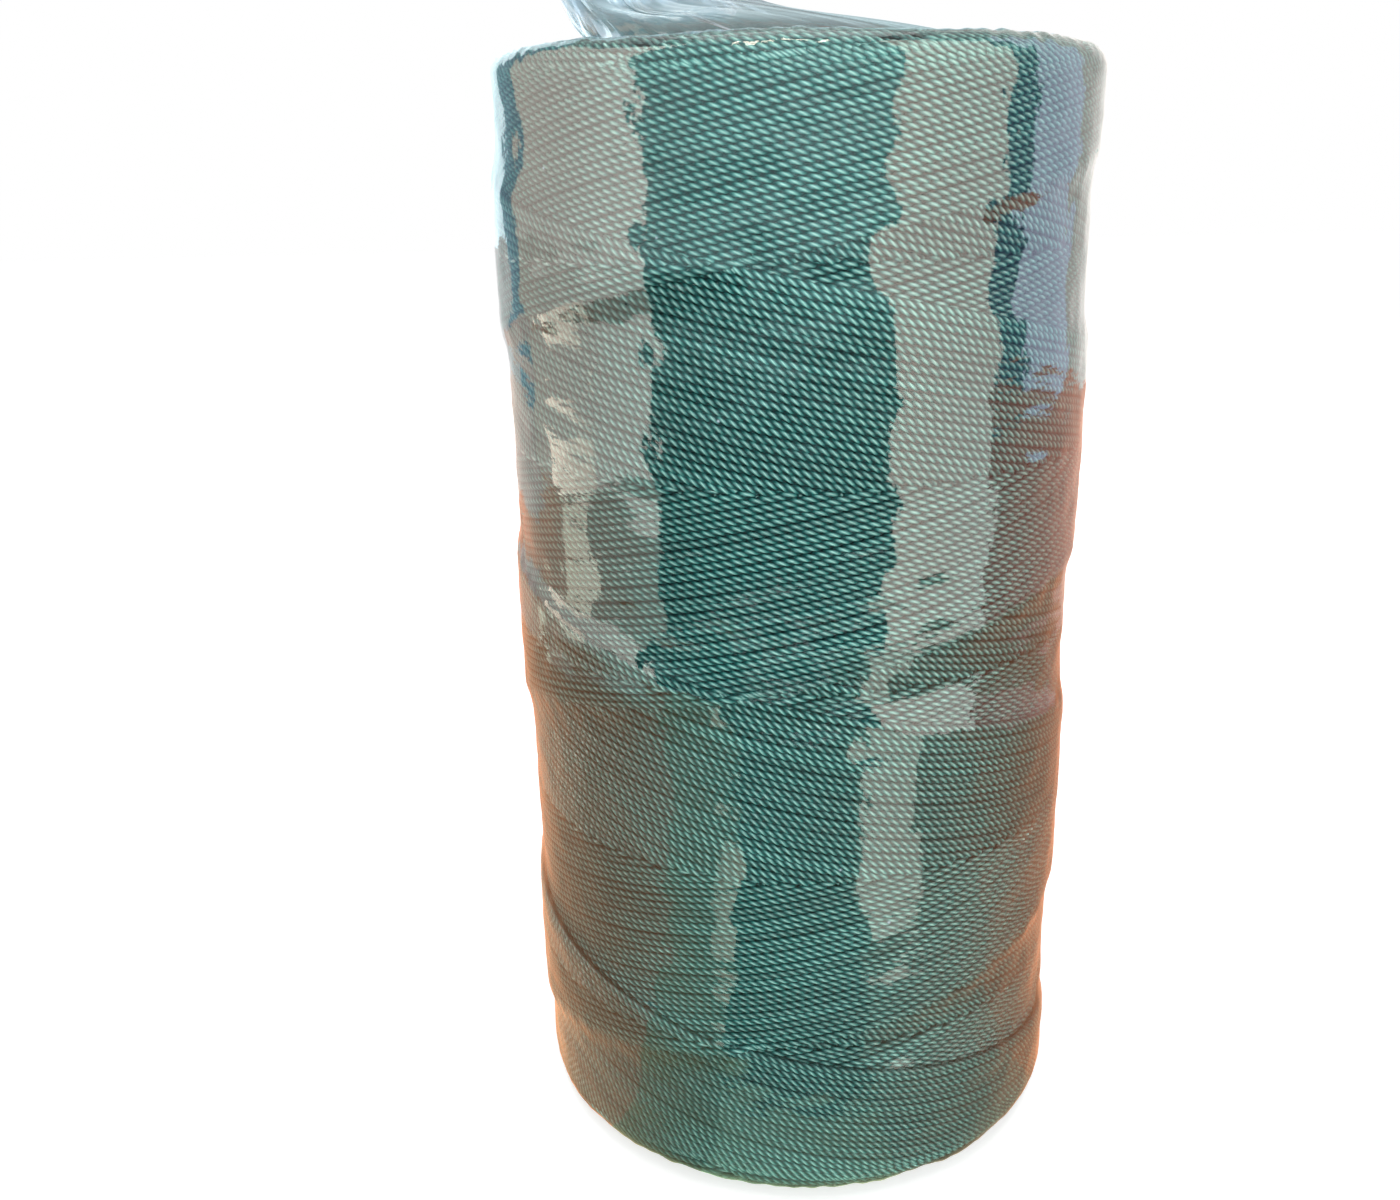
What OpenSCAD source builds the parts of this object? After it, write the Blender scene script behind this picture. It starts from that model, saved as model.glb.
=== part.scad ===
// Cross-wound spool of twisted nylon fishing twine, shrink-wrapped in clear film.
//
// A paper tube carries the wound body. The outermost turns run over it as one
// unbroken strand that climbs and falls in crossing strokes. A film sleeve covers the
// package from under its base to its top shoulder, and a pleated crown gathers the
// mouth of the film into a short tail.
//
// Millimetres, +Z up, origin at the centre of the base. The front is -Y. Azimuth 0 is
// the front, and azimuths grow towards +X.

/* [Package] */
// Radius over the outermost turns
wound_r = 51; // [44:1:70]
// Height of the wound package
wound_h = 193; // [140:1:250]
// Rounding of the two shoulders of the package
shoulder_r = 3; // [2:0.5:6]

/* [Twine] */
// Diameter of the laid twine
twine_d = 1.25; // [0.9:0.05:1.6]
// Up-and-down strokes of the outermost turns
double_strokes = 4; // [2, 3, 4]
// Whole turns that each stroke falls just short of
stroke_turns = 3; // [2, 3]
// Air between two turns where they cross
crossing_air = 0.55; // [0.5:0.05:0.8]
// Distance from the end of the package to the lane where the turns reverse
reversal_inset = 2; // [1.5:0.1:3]
// Azimuth of the crossing that faces the front, in degrees
crossing_azimuth = -8; // [-180:1:180]

/* [Core tube] */
// Radius of the bore
bore_r = 17; // [12:0.5:25]
// Wall of the paper tube
tube_wall = 2.5; // [1.5:0.1:4]
// Chamfer on the tube's mouths, inside and outside
tube_chamfer = 0.4; // [0.2:0.1:0.6]
// Air between the tube and the winding
tube_gap = 0.1; // [0.05:0.05:0.3]

/* [Film] */
// Wall of the clear film
film_t = 0.3; // [0.2:0.05:0.5]
// Air between the film and the winding
film_gap = 0.3; // [0.2:0.05:0.5]
// Air between the film's turned-under edge and the core tube
base_edge_gap = 1; // [0.5:0.1:5]
// Width of the sleeve's lip on top, inside the shoulder
top_lip = 17; // [10:1:22]
// How far the crown overlaps that lip
crown_overlap = 2; // [1:0.5:3]

/* [Gathered crown] */
// Height of the gathered film above the sleeve
crown_h = 19; // [12:0.5:30]
// How far the tail leans to the left
crown_lean = 28; // [0:1:34]
// Half width of the throat, across the lean and along it
throat_r = 14; // [8:0.5:16]
// Half width of the tail's cut end
tail_r = 17; // [9:0.5:18]
// Flatness of the tail: its depth over its width
tail_flatness = 0.5; // [0.4:0.05:0.9]
// Height of the throat, as a part of the crown's height
throat_at = 0.5; // [0.4:0.05:0.7]
// Number of pleats
pleats = 9; // [6:1:12]
// Depth of a pleat at the throat
pleat_depth = 1.6; // [0.5:0.1:2]

/* [Hidden] */
$fn = 96;

TWINE_GREEN = [0.13, 0.47, 0.42];
TWINE_LIGHT = [0.30, 0.64, 0.57];
PAPER_BROWN = [0.66, 0.56, 0.43];
FILM_CLEAR = [0.80, 0.86, 0.88, 0.35];

// Heights. The film's underside and the tube's end share the plane that the spool
// stands on, and the winding lies inside the film.
wound_bottom = film_t + film_gap;
wound_top = wound_bottom + wound_h;
tube_r = bore_r + tube_wall;
film_r = wound_r + film_gap + film_t;
film_top = wound_top + film_gap + film_t;
film_round = shoulder_r + film_gap + film_t;

// The outermost turns: 24 rings to a turn, 6 sides to a ring.
ring_step = 15;
strand_sides = 6;
strokes = 2 * double_strokes;
crossing_step = 360 / strokes;
stroke_angle = 360 * stroke_turns - crossing_step;
stroke_rings = stroke_angle / ring_step;
crossing_rings = crossing_step / ring_step;
end_stub_angle = ring_step / 2;

// The free end stops between the last stroke's last two crossings.
last_ring = strokes * stroke_rings - ceil(1.5 * crossing_rings);
reversal_half = 1.5 * ring_step;

// A later stroke hops over each earlier one. Rings lie on the turn's circle, so that
// the chords between them pass nearer to the body, which clears them.
hop = twine_d + crossing_air;
strand_seat = twine_d / 4;
strand_r = wound_r - twine_d / 2 - hop;
body_r = strand_r * cos(ring_step / 2) - twine_d / 2 - strand_seat;
lane_low = wound_bottom + reversal_inset;
lane_high = wound_top - reversal_inset;
rise_per_degree = (lane_high - lane_low) / (stroke_angle - reversal_half);

// The last stroke climbs to the right and crosses the front half way up.
first_azimuth = crossing_azimuth - (strokes - 1 / 2) * stroke_angle;
last_azimuth = first_azimuth + last_ring * ring_step;

// ---- vectors and blends ----

function unit(v) = v / norm(v);
function around(azimuth, r, z) = [r * sin(azimuth), -r * cos(azimuth), z];
function blend(from, to, share) = from + (to - from) * share;
function smooth(x) = x * x * (3 - 2 * x);

// ---- the strand ----

// Distance climbed from a reversal, as an angle: straight, with a round start.
function eased(angle) = angle >= reversal_half
    ? angle - reversal_half / 2
    : angle * angle / (2 * reversal_half);

function stroke_of(ring) = min(floor(ring / stroke_rings), strokes - 1);
function ring_in_stroke(ring) = ring - stroke_of(ring) * stroke_rings;

// Odd strokes climb and even ones fall, so that the last one climbs.
function climbed(ring) =
    let (angle = ring_in_stroke(ring) * ring_step)
    angle < stroke_angle / 2
        ? rise_per_degree * eased(angle)
        : lane_high - lane_low - rise_per_degree * eased(stroke_angle - angle);
function ring_z(ring) = stroke_of(ring) % 2 == 1
    ? lane_low + climbed(ring)
    : lane_high - climbed(ring);

// The stroke that crosses this one at its n-th crossing.
function crossing_stroke(stroke, n) = (stroke - 2 * n - 1 + 4 * stroke_rings * strokes) % strokes;
function hops(ring) =
    let (n = ring_in_stroke(ring) / crossing_rings)
    n == floor(n) && n > 0 && n < stroke_rings / crossing_rings
        && crossing_stroke(stroke_of(ring), n) < stroke_of(ring);

// How far the shoulder falls back from the body's side at a height.
function shoulder_fall(z) =
    let (into = max(0, shoulder_r - (z - wound_bottom), shoulder_r - (wound_top - z)))
    shoulder_r - sqrt(shoulder_r * shoulder_r - into * into);

function ring_point(ring) =
    let (z = ring_z(ring))
    around(first_azimuth + ring * ring_step,
           strand_r - shoulder_fall(z) + (hops(ring) ? hop : 0), z);

// Both ends stand square on the body for one twine diameter.
function end_points(azimuth, z) =
    let (foot = body_r + strand_seat - shoulder_fall(z))
    [around(azimuth, foot, z), around(azimuth, foot + twine_d, z)];
first_end = end_points(first_azimuth - end_stub_angle, ring_z(0));
last_end = end_points(last_azimuth + end_stub_angle, ring_z(last_ring));
turns = [for (ring = [0:last_ring]) ring_point(ring)];
strand = concat(first_end, turns, [last_end[1], last_end[0]]);

// The direction square to both the strand and the radius, which every ring keeps.
function across(points, i) =
    let (n = len(points) - 1, j = max(2, min(n - 2, i)))
    unit(cross(points[j + 1] - points[j - 1], [points[j].x, points[j].y, 0]));

// One ring of the strand, on the plane that halves the bend there.
function strand_ring(points, i) =
    let (
        n = len(points) - 1,
        ahead = unit(points[min(i + 1, n)] - points[min(i, n - 1)]),
        behind = unit(points[max(i, 1)] - points[max(i - 1, 0)]),
        along = unit(ahead + behind),
        side = across(points, i),
        up = cross(side, along),
        stretch = 1 / (along * ahead)
    )
    [for (k = [0:strand_sides - 1])
        let (turn = 360 * k / strand_sides)
        points[i] + twine_d / 2 * (cos(turn) * stretch * up + sin(turn) * side)];

// Least distance between the surfaces of two turns: from points along each turn to
// the stretches of the later turns that pass the same azimuth.
samples = 32;
turn_rings = 360 / ring_step;
function from_stretch(p, a, b) =
    let (share = (p - a) * (b - a) / ((b - a) * (b - a)))
    norm(p - a - max(0, min(1, share)) * (b - a));
function least_gap(points) = min([
    for (i = [0:last_ring - 1], later = [turn_rings:turn_rings:last_ring - i])
        for (j = [i + later - 1:min(i + later + 1, last_ring - 1)])
            if (abs(points[i].z - points[j].z) < 3 * hop)
                for (s = [0:samples])
                    from_stretch(blend(points[i], points[i + 1], s / samples),
                                 points[j], points[j + 1])
]) - twine_d;

// ---- sweeps ----

// Triangles between neighbouring rings of equal length, rings counted from first.
function band(first, count, sides) = [
    for (i = [0:count - 2], k = [0:sides - 1])
        let (
            a = first + i * sides + k,
            b = first + i * sides + (k + 1) % sides
        )
        each [[a, b, b + sides], [a, b + sides, a + sides]]
];

module tube_through(points) {
    rings = [for (i = [0:len(points) - 1]) each strand_ring(points, i)];
    top = (len(points) - 1) * strand_sides;
    polyhedron(
        points = rings,
        faces = concat(
            band(0, len(points), strand_sides),
            [for (k = [1:strand_sides - 2]) [0, k + 1, k]],
            [for (k = [1:strand_sides - 2]) [top, top + k, top + k + 1]]
        )
    );
}

// ---- profiles ----

// Half section of a package with round shoulders: from r_in to r_out, low to high.
module package_section(r_in, r_out, low, high, round_r) {
    translate([r_in, low]) square([r_out - round_r - r_in, high - low]);
    translate([r_in, low + round_r]) square([r_out - r_in, high - low - 2 * round_r]);
    for (z = [low + round_r, high - round_r])
        translate([r_out - round_r, z]) circle(r = round_r);
}

// ---- the crown ----

crown_sides = 54;
crown_rings = 10;
crown_base_r = film_r - film_round - top_lip + crown_overlap;
crown_seat = film_gap;

// Width, depth and lean of the gathered film at a part u of its height.
function gathered(u) = u < throat_at ? smooth(u / throat_at) : 1;
function flared(u) = u < throat_at ? 0 : (u - throat_at) / (1 - throat_at);
function crown_width(u) =
    blend(blend(crown_base_r, throat_r, gathered(u)), tail_r, flared(u));
function crown_depth(u) =
    blend(crown_base_r, throat_r * tail_flatness, gathered(u))
        + (tail_r - throat_r) * tail_flatness * flared(u);
function crown_shift(u) = -crown_lean * blend(gathered(u) * 0.85, 1, flared(u));
function crown_fold(u) = pleat_depth * gathered(u);

function crown_ring(u, inset) = [
    for (k = [0:crown_sides - 1])
        let (
            turn = 360 * k / crown_sides,
            fold = crown_fold(u) * cos(pleats * turn) - inset
        )
        [crown_shift(u) + (crown_width(u) + fold) * cos(turn),
         (crown_depth(u) + fold) * sin(turn),
         film_top + crown_seat + film_t + crown_h * u - inset]
];

// ---- pieces ----

module core_tube() {
    color(PAPER_BROWN)
        rotate_extrude() difference() {
            translate([bore_r, 0]) square([tube_wall, wound_top]);
            for (r = [bore_r, tube_r], z = [0, wound_top])
                translate([r, z]) rotate(45)
                    square(tube_chamfer * sqrt(2), center = true);
        }
}

module twine_body() {
    color(TWINE_GREEN)
        rotate_extrude()
            package_section(tube_r + tube_gap, body_r, wound_bottom, wound_top, shoulder_r);
}

module twine_turns() {
    echo(least_gap_between_turns = least_gap(turns));
    color(TWINE_LIGHT) tube_through(strand);
}

module film_sleeve() {
    lip_r = film_r - film_round - top_lip;
    edge_r = tube_r + base_edge_gap;
    color(FILM_CLEAR)
        rotate_extrude() difference() {
            package_section(edge_r, film_r, 0, film_top, film_round);
            package_section(0, film_r - film_t, film_t, film_top - film_t,
                            film_round - film_t);
            translate([0, wound_top - shoulder_r]) square([lip_r, 2 * film_round]);
        }
}

module film_crown() {
    outer = [for (i = [0:crown_rings - 1]) each crown_ring(i / (crown_rings - 1), 0)];
    inner = [for (i = [0:crown_rings - 1]) each crown_ring(i / (crown_rings - 1), film_t)];
    count = crown_rings * crown_sides;
    rim = count - crown_sides;
    color(FILM_CLEAR)
        polyhedron(
            points = concat(outer, inner),
            faces = concat(
                [for (f = band(0, crown_rings, crown_sides)) [f[2], f[1], f[0]]],
                band(count, crown_rings, crown_sides),
                [for (k = [0:crown_sides - 1])
                    let (a = k, b = (k + 1) % crown_sides)
                    each [[a, b, b + count], [a, b + count, a + count],
                          [rim + b, rim + a, rim + a + count],
                          [rim + b, rim + a + count, rim + b + count]]]
            )
        );
}

core_tube();
twine_body();
twine_turns();
film_sleeve();
film_crown();
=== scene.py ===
"""Cross-wound spool of twisted nylon twine in clear shrink film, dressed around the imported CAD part.

Metres, +Z up, the front is -Y. Azimuth 0 is the front, and azimuths grow towards +X.
"""
import math

import bpy
import numpy as np
from mathutils import Matrix, Vector


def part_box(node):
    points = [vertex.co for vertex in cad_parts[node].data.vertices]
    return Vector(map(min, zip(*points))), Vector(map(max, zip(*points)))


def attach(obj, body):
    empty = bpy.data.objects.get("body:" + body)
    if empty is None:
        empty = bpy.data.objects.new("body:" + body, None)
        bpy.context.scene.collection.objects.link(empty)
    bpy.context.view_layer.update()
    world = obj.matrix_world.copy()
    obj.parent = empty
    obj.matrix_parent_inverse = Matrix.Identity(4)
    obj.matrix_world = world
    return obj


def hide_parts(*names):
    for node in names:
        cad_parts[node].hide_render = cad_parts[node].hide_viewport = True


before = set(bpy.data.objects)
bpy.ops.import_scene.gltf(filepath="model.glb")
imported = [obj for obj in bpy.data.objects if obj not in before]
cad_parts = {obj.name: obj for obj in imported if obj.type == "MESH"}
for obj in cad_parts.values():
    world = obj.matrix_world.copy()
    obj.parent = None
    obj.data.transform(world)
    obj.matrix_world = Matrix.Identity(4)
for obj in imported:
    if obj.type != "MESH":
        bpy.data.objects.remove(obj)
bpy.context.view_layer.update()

MM = 0.001
TURN = 2 * math.pi
WHITE = (1, 1, 1, 1)

# ---- the package, from the frame and the part's own sizes ----

SHOULDER_R = 3 * MM
FILM_BUILD = 0.6 * MM  # wall of the film and the air under it
TOP_LIP = 17 * MM
CROWN_OVERLAP = 2 * MM
CROWN_H = 19 * MM
CROWN_LEAN = 28 * MM
THROAT_R = 14 * MM
TAIL_R = 17 * MM
TAIL_FLATNESS = 0.5
THROAT_AT = 0.5  # of the crown's height

BODY_LOW, BODY_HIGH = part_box("twine_body")
SLEEVE_LOW, SLEEVE_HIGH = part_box("film_sleeve")
TUBE_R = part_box("core_tube")[1].x
WOUND_BOTTOM = BODY_LOW.z
WOUND_TOP = BODY_HIGH.z
WOUND_R = SLEEVE_HIGH.x - FILM_BUILD
HALF_H = (WOUND_TOP - WOUND_BOTTOM) / 2
FACE_R = WOUND_R - SHOULDER_R  # of the flat end faces
LIP_R = FACE_R - TOP_LIP + CROWN_OVERLAP  # where the sleeve ends and the crown begins

FIT_HEIGHT = 3.717  # of the winding, in the unit in which the camera and the lead were fitted
FIT_UNIT = HALF_H * 2 / FIT_HEIGHT

# ---- the winding ----

TWINE_D = 1.25 * MM
STRANDS_PER_LEAD = 51
LEAD = 1.268 * FIT_UNIT  # what a strand climbs in one turn
FRONT_CROSSING = math.radians(-8.05)
MIDDLE_CROSSING_Z = WOUND_TOP - 1.8755 * FIT_UNIT
LAYER = 0.88 * TWINE_D  # how much a whole layer lifts the surface
EDGE_MARGIN = 1.0  # in strands: how far a run reaches in under the band's edge where it starts
DIVE_MARGIN = 1.3  # in strands: how far it goes on below the strand that covers it
CYCLES = range(-5, 6)  # the leads in which a run can lie, and the turns of what covers it
LEAST_RINGS = 4
PIECES_PER_FAMILY = 5
PAST_END = 2.5 * MM
STRAND_SWAY = 0.06 * TWINE_D
SWAYS_PER_TURN = (2, 6)  # from the first number to below the second
STRAND_SCATTER = 0.03 * TWINE_D
RIM_DIVE = 1.5 * TWINE_D  # over which a strand dives under the loops on the rim
RIM_DIVE_EARLY = 0.3  # the share of that dive that comes before the loops
BANDS_FADE = 1.2 * SHOULDER_R  # how far round the shoulder the steps of the bands die out

PLY_LAY = 4.7 * MM
PLY_CREST = 0.625 * MM
PLY_DEPTH = 0.44  # of the grooves between the plies, as a part of the crest's radius
PLY_BLUNTNESS = 1.6
RINGS_PER_LAY = 12
RING_STEP = PLY_LAY / RINGS_PER_LAY
SECTION_ANGLES = np.radians(np.arange(-90, 91, 30))
SPREAD = 1.16  # strands side by side are pressed a little wide
UV_MARGIN = 0.1  # beside each strand's row in the map
FIBRE_SHIFT = 7.3  # sets the fibres of one strand apart from those of the next

EASE_ZONE = 7 * MM
END_PITCH = 0.45
RIM = 2.4 * MM  # below the end plane, where the reversed loops begin
RIM_SWAY = 1.5 * MM
RIM_WAVES = 3
RIM_PHASE = math.radians(60)
DIP = 0.9 * MM  # how far the winding's top has settled
DIP_TILT = 0.75
DIP_REACH = 25 * MM

ARC_HALF = math.radians(30)
ARCS_PER_RING = 8
OUTER_RINGS = 11  # the rings of loops that go into the outer piece of each end
LOOP_TURN = 0.382  # of a turn, from one ring of loops to the next
LOOP_SCATTER = 0.03  # of the way from one loop to the next
LOOP_SLANT = 0.05  # in strands
LOOP_BEND = 4  # the power with which a loop's ends turn back
LOOP_LIFT = 0.05 * TWINE_D
SWAY_RINGS = 10  # over which the rim's sway dies out
START_DIVE = (0.82, 0.18)  # how far from its middle a loop's start dives, and over how much
END_DIVE = (0.35, 0.3)  # the same for its end, both in halves of the loop

UNDERLAYER_COLUMNS = 360
UNDERLAYER_STEP = 1.2 * MM
UNDERLAYER_DEPTH = 1.2 * TWINE_D
UNDERLAYER_GAP = 0.3 * MM  # to the tube

# ---- the film ----

FILM_AIR = 0.18 * MM  # over the strands
FILM_COLUMNS = 400
FILM_STEP = 1.1 * MM
FILM_GAP = 1 * MM  # to the tube
FILM_OFF_FLOOR = 0.05 * MM
FILM_AT_LIP = 0.1  # how far the film is gathered where the crown begins
FILM_REACH = 4  # in grid steps: half the width of the widest hollow that the film bridges
BRIDGE_PASSES = 12
EDGE_PASSES = 2

# A set of waves is a count, the most turns round the spool, a length along it and a seed.
WRINKLES = [  # each a height and its waves
    (0.05 * MM, (40, 14, 40 * MM, 11)),
    (0.055 * MM, (50, 22, 11 * MM, 14)),
    (0.022 * MM, (40, 60, 9 * MM, 12)),
]
SHOULDER_WRINKLES = 0.08 * MM
SHOULDER_WAVES = (40, 110, 4 * MM, 13)
SHOULDER_WRINKLES_END = 3  # in shoulder radii from where the shoulder begins
FACE_GATHERS = 0.22 * MM

PLEATS = 9
EVEN_PLEATS = 0.55  # the parts of the pleats' height
UNEVEN_PLEATS = 0.3
CREASES = 0.35
PLEATS_DOWN = 0.2
PLEAT_WAVES = (8, 24, 1, 21)
CREASE_WAVES = (8, 40, 1, 22)
CROWN_ROWS = 60
CROWN_PLEATS = 1.5 * MM
CRUMPLES = 0.2 * MM
CRUMPLE_WAVES = (30, 12, 0.7, 31)
FINE_CRUMPLES = 0.04 * MM
FINE_CRUMPLE_WAVES = (30, 30, 0.35, 32)
CUT_END_SWAY = 0.6 * MM
CUT_END_WAVES = (12, 6, 0.8, 33)
LEAN_AT_THROAT = 0.85  # of the whole lean
LEAVES_LIP = 0.12  # of the crown's height, over which it leaves the form of the sleeve's lip
GATHERED_BY = 0.4  # of the crown's height

# ---- the look of the materials ----

# The strands' flanks are darkened in colour: painted shade.
FLANK_TO_BACK = (0.35, 0.95)  # in cosines across a strand
FLANK_PAINTED_LIGHT = 0.3  # painted light on a strand's flanks, as a part of that on its back
FLANK_PAINTED_SHADE = 0.3  # the part of the colour's value that this painted light decides
TONES = (0.8, 1.2)  # of the strands and their blotches and fibres
FIBRE_STRETCH = (0.5, 14.0, 1.0)
GROOVE_RELIEF = 0.22  # in mm, as the next one
FIBRE_RELIEF = 0.05
FILM_IOR = 1.5
FILM_HAZE = 0.004
GATHERED_HAZE = 0.42
FILM_ROUGHNESS = 0.06
GATHERED_ROUGHNESS = 0.24
DUST_FREE = 0.6  # the share of the dust's cells that stay empty
SPECK_EDGE = (0.02, 0.04)  # in cells
SPECK_CLOUD = 0.8
PAPER_PITCH = 62 * MM  # of the tube's spiral seam
SEAM_HALF = 0.008  # of that pitch
SEAM_SHADE = 0.55

# ---- the camera, as fitted to the photograph ----

FRAME_W = 1400
SENSOR = 36.0
FOCAL_PIXELS = 1280.0
CAMERA_BACK = 4.535 * FIT_UNIT
CAMERA_DROP = 0.358 * FIT_UNIT  # below the winding's top
PITCH, YAW, ROLL = 0.3234, 0.0754, -0.0265
CLIP_START = 10 * MM

# ---- the floor, the lamps and what the film mirrors ----

FLOOR_HALF = 3.0
FLOOR_Z = -0.2 * MM
FLOOR_COLOUR = (0.8, 0.8, 0.8, 1)
GLOW_REACH = (0.06, 0.6)  # from close to the spool to far from it
GLOW = (0.5, 0.72)
WORLD_STRENGTH = 0.36

# A lamp's azimuth in degrees, distance, height, width, second width and radiance.
LAMPS = [
    ("key_box", 12, 0.6, 0.22, 0.34, 0.22, 5.5),
    ("top_box", 0, 0.0, 0.75, 0.45, 0.45, 1.8),
    ("small_box", -5, 0.5, 0.36, 0.15, 0.1, 16),
    ("left_back_box", -145, 0.7, 0.42, 0.3, 0.3, 8),
    ("right_back_box", 145, 0.7, 0.42, 0.3, 0.3, 8),
]

# Windows, a dim room and a brown table, as glowing boards round the spool that only gloss sees: painted
# reflections. Each has its azimuths in degrees, the distance and height of its lower and upper edge, and
# the radiance of its two sides.
BOARD_COLUMNS = 13
FRONT = 0.32
WALL = 0.3
NEAR = 0.296  # in front of the wall
TABLE_Z = -0.1 * MM
TABLE = (0.04, TABLE_Z), (WALL, TABLE_Z)
GLINT_Z = 0.0  # over the table
BOARDS = [
    ("front_low", (-50, 33), (FRONT, 0), (FRONT, 0.1), (0.06, 0.07, 0.07), (0.06, 0.07, 0.07)),
    ("front_dim", (-50, 33), (FRONT, 0.1), (FRONT, 0.125), (0.35, 0.55, 0.55), (0.3, 0.5, 0.5)),
    ("front_mid", (-50, 33), (FRONT, 0.125), (FRONT, 0.17), (0.9, 1.4, 1.4), (0.8, 1.3, 1.3)),
    ("front_high", (-50, 33), (FRONT, 0.17), (FRONT, 0.6), (1.4, 2.0, 2.0), (1.3, 1.9, 1.9)),
    ("high_glint_1", (-23, -17), (0.31, 0.45), (0.31, 0.62), (22, 20, 17), (22, 20, 17)),
    ("high_glint_2", (-11, -4), (0.31, 0.47), (0.31, 0.62), (18, 17, 14), (18, 17, 14)),
    ("high_glint_3", (1, 12), (0.31, 0.52), (0.31, 0.62), (20, 18, 15), (20, 18, 15)),
    ("left_window", (-113, -50), (WALL, 0.15), (WALL, 0.5), (2.0, 1.8, 1.6), (7.2, 6.5, 5.9)),
    ("left_sill", (-113, -50), (WALL, 0.06), (WALL, 0.15), (1.7, 1.5, 1.3), (5.4, 4.9, 4.4)),
    ("left_patch", (-104, -76), (NEAR, 0.062), (NEAR, 0.088), (6.5, 5.6, 4.6), (5.5, 5.0, 4.2)),
    ("left_low_patch", (-99, -78), (NEAR, 0.022), (NEAR, 0.054), (3.6, 3.2, 2.5), (5.2, 4.8, 3.9)),
    ("left_thin_patch", (-119, -108), (NEAR, 0.002), (NEAR, 0.024), (2.4, 2.0, 1.5), (2.4, 2.0, 1.5)),
    ("left_foot", (-113, -50), (WALL, 0), (WALL, 0.06), (1.6, 0.9, 0.6), (2.0, 1.9, 1.6)),
    ("left_flag", (-128, -113), (WALL, 0.1), (WALL, 0.5), (0.5, 0.8, 1.0), (0.5, 0.8, 1.0)),
    ("left_far", (-160, -128), (WALL, 0.15), (WALL, 0.5), (1.3, 1.6, 1.7), (2.1, 2.6, 2.8)),
    ("left_mid", (-160, -113), (WALL, 0.05), (WALL, 0.1), (1.0, 0.8, 0.7), (1.4, 1.2, 1.1)),
    ("left_low", (-160, -113), (WALL, 0), (WALL, 0.05), (1.1, 0.5, 0.33), (1.4, 0.85, 0.6)),
    ("right_window", (33, 75), (WALL, 0), (WALL, 0.5), (5.4, 4.4, 3.8), (4.0, 3.5, 3.2)),
    ("right_flag", (75, 87), (WALL, 0.1), (WALL, 0.5), (0.3, 0.5, 0.8), (0.3, 0.5, 0.8)),
    ("right_foot", (75, 87), (WALL, 0), (WALL, 0.1), (1.6, 0.6, 0.45), (1.9, 0.8, 0.6)),
    ("right_far", (87, 118), (WALL, 0.095), (WALL, 0.5), (2.6, 2.8, 3.7), (1.8, 1.9, 2.3)),
    ("right_edge", (118, 160), (WALL, 0.095), (WALL, 0.5), (1.4, 1.3, 1.2), (1.4, 1.35, 1.3)),
    ("right_low", (87, 160), (WALL, 0), (WALL, 0.095), (1.9, 0.8, 0.6), (1.0, 0.6, 0.45)),
    ("back_high", (160, 200), (WALL, 0.12), (WALL, 0.5), (0.7, 0.9, 0.95), (0.7, 0.9, 0.95)),
    ("back_low", (160, 200), (WALL, 0), (WALL, 0.12), (0.6, 0.42, 0.34), (0.6, 0.42, 0.34)),
    ("left_table", (-160, -45), *TABLE, (1.15, 0.5, 0.28), (1.3, 0.68, 0.34)),
    ("green_table", (-45, -20), *TABLE, (0.9, 0.75, 0.38), (0.5, 0.6, 0.32)),
    ("dark_table", (-20, 23), *TABLE, (0.12, 0.16, 0.09), (0.2, 0.16, 0.08)),
    ("near_table", (-20, 23), (0.04, GLINT_Z), (0.075, GLINT_Z), (0.8, 1.15, 0.7), (0.8, 0.9, 0.55)),
    ("pale_table", (23, 70), *TABLE, (0.6, 0.62, 0.42), (1.0, 0.55, 0.32)),
    ("right_table", (70, 160), *TABLE, (1.15, 0.52, 0.27), (1.0, 0.42, 0.25)),
    ("back_table", (160, 200), *TABLE, (0.8, 0.42, 0.26), (0.8, 0.42, 0.26)),
    ("right_glint", (25, 44), (0.13, GLINT_Z), (0.29, GLINT_Z), (4.0, 3.6, 3.0), (3.2, 2.9, 2.4)),
    ("left_glint", (-27, -20), (0.115, GLINT_Z), (0.175, GLINT_Z), (2.2, 2.2, 1.6), (3.0, 2.8, 2.1)),
]

rng = np.random.default_rng(7)


# ---- the form of the winding ----

# Places on the package are given along its profile: s is the height on the wall, and
# runs on over the shoulder and inwards on the end face.


def smoothstep(x):
    x = np.clip(x, 0, 1)
    return x * x * (3 - 2 * x)


def past_end(r):
    """How far past the end plane, along the profile, an end face reaches the radius r."""
    return SHOULDER_R * (math.pi / 2 - 1) + WOUND_R - SHOULDER_R - r


def profile_places(step, inner_r):
    """Places along the whole profile, from the radius inner_r of the base to that of the top."""
    low = WOUND_BOTTOM - past_end(inner_r)
    high = WOUND_TOP + past_end(inner_r)
    return np.linspace(low, high, int((high - low) / step))


def eased(z):
    """The place along the profile of a strand that would be at height z on an endless wall."""
    out = np.array(z, float)
    for end, way in ((WOUND_TOP, 1.0), (WOUND_BOTTOM, -1.0)):
        past = (out - end) * way + EASE_ZONE
        bend = past - (1 - END_PITCH) * past**2 / (2 * EASE_ZONE)
        line = EASE_ZONE * (1 + END_PITCH) / 2 + END_PITCH * (past - EASE_ZONE)
        slow = np.where(past < EASE_ZONE, bend, line)
        out = np.where(past > 0, end - way * EASE_ZONE + way * slow, out)
    return out


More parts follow.
